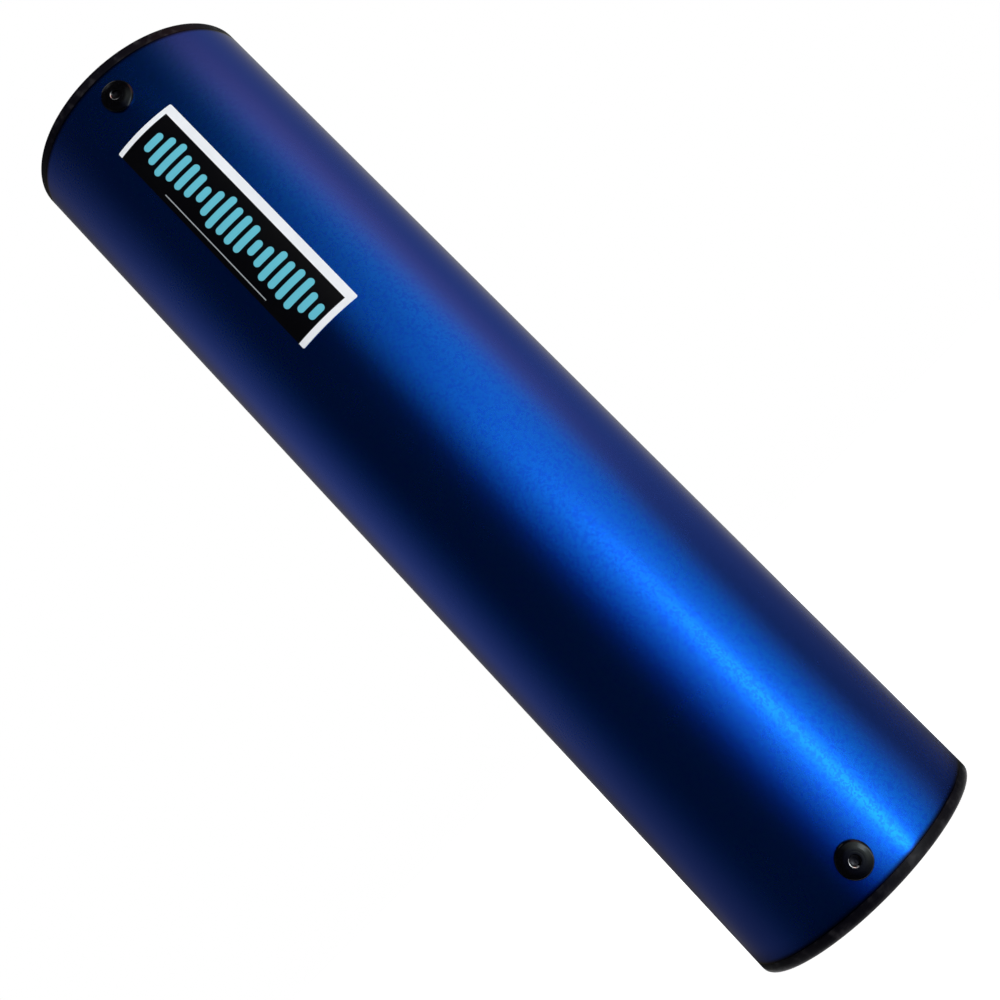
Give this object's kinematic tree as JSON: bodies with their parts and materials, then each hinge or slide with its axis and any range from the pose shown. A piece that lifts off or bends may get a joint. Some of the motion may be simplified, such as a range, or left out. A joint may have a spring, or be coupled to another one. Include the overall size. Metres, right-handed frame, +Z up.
{
  "type": "tube shaker",
  "caption": "Ganza tube shaker: anodised metal tube closed by riveted plastic end caps, with a vinyl label and loose steel shot sliding inside.",
  "frame": {"origin": "centre of the lower end cap's outer face, on which the shaker stands", "axes": "+Z up along the tube towards the upper end cap; -Y points out of the front, along the rivets that the label is in line with; +X to the right seen from the front"},
  "size_m": [0.0635, 0.0649, 0.254],
  "materials": {
    "tube": "satin metallic blue anodising over fine grain",
    "cap": "black moulded plastic, fine satin texture",
    "rivet": "semi-gloss black lacquer on an aluminium blind rivet",
    "mandrel": "bare drawn steel, broken end",
    "label": "white vinyl printed in black and teal, gloss",
    "shot": "bright steel balls, lightly scuffed"
  },
  "bodies": {
    "root": {"tube": "tube", "lower_cap": "cap", "upper_cap": "cap", "lower_rivet_front": "rivet", "lower_rivet_right": "rivet", "lower_rivet_left": "rivet", "upper_rivet_front": "rivet", "upper_rivet_right": "rivet", "upper_rivet_left": "rivet", "lower_mandrel_front": "mandrel", "lower_mandrel_right": "mandrel", "lower_mandrel_left": "mandrel", "upper_mandrel_front": "mandrel", "upper_mandrel_right": "mandrel", "upper_mandrel_left": "mandrel", "label": "label"},
    "shot_right": {"shot_right": "shot"},
    "shot_back": {"shot_back": "shot"},
    "shot_left": {"shot_left": "shot"},
    "shot_front": {"shot_front": "shot"}
  },
  "joints": [
    {"name": "shot_right_slide", "type": "slide", "parent": "root", "child": "shot_right", "axis": [0, 0, 1], "range_m": [0, 0.2398]},
    {"name": "shot_back_slide", "type": "slide", "parent": "root", "child": "shot_back", "axis": [0, 0, 1], "range_m": [0, 0.2398]},
    {"name": "shot_left_slide", "type": "slide", "parent": "root", "child": "shot_left", "axis": [0, 0, 1], "range_m": [0, 0.2398]},
    {"name": "shot_front_slide", "type": "slide", "parent": "root", "child": "shot_front", "axis": [0, 0, 1], "range_m": [0, 0.2398]}
  ]
}
